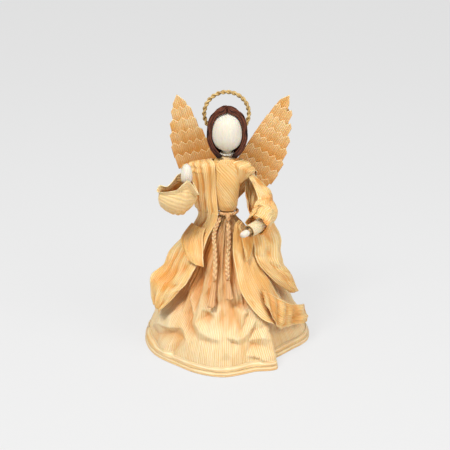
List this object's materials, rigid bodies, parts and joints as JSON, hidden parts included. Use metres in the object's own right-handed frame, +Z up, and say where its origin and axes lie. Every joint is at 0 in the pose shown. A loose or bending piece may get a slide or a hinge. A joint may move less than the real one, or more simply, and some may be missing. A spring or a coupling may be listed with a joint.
{
  "type": "corn husk angel figure",
  "caption": "Free-standing angel figure of folded, gathered and tied corn husk, with a bell skirt, draped sleeves and stole, pinked wings, hair and a twisted cord halo.",
  "frame": {"origin": "centre of the base on the surface that the figure stands on", "axes": "+Z up from the base to the head; -Y the way the figure faces; +X to the figure's own left"},
  "size_m": [0.1021, 0.1074, 0.1532],
  "materials": {
    "husk_gown": "matte ribbed dried husk",
    "husk_mantle": "matte ribbed dried husk",
    "husk_wing": "matte ribbed dried husk with paler cut edges",
    "husk_pale": "matte bleached husk",
    "husk_tie": "matte twisted and plaited husk",
    "husk_core": "matte rolled husk",
    "hair_fibre": "soft dark brown fibre",
    "halo_cord": "two-ply straw cord",
    "thread": "plain cotton thread"
  },
  "bodies": {
    "root": {"arm_left": "husk_core", "arm_right": "husk_core", "bodice_front": "husk_mantle", "bodice_wrap": "husk_mantle", "cuff_right": "husk_pale", "frill_right": "husk_mantle", "hair_back": "hair_fibre", "hair_left": "hair_fibre", "hair_right": "hair_fibre", "halo": "halo_cord", "hand_left": "husk_pale", "hand_right": "husk_pale", "head": "husk_pale", "hem_band": "husk_gown", "mantle_right": "husk_mantle", "neck_thread": "thread", "panel_flap_right": "husk_mantle", "panel_inner_right": "husk_mantle", "panel_outer_right": "husk_mantle", "skirt": "husk_gown", "sleeve_left": "husk_mantle", "sleeve_right": "husk_mantle", "stole_fold_left": "husk_mantle", "stole_left": "husk_mantle", "tail_tuft_left": "husk_tie", "tail_tuft_right": "husk_tie", "tie_knot": "husk_tie", "tie_tail_left": "husk_tie", "tie_tail_right": "husk_tie", "torso_core": "husk_core", "waist_tie": "husk_tie", "wing_left_backing": "husk_wing", "wing_left_row_1": "husk_wing", "wing_left_row_2": "husk_wing", "wing_left_row_3": "husk_wing", "wing_left_row_4": "husk_wing", "wing_left_row_5": "husk_wing", "wing_left_row_6": "husk_wing", "wing_left_row_7": "husk_wing", "wing_left_row_8": "husk_wing", "wing_right_backing": "husk_wing", "wing_right_row_1": "husk_wing", "wing_right_row_2": "husk_wing", "wing_right_row_3": "husk_wing", "wing_right_row_4": "husk_wing", "wing_right_row_5": "husk_wing", "wing_right_row_6": "husk_wing", "wing_right_row_7": "husk_wing", "wing_right_row_8": "husk_wing"}
  },
  "joints": []
}
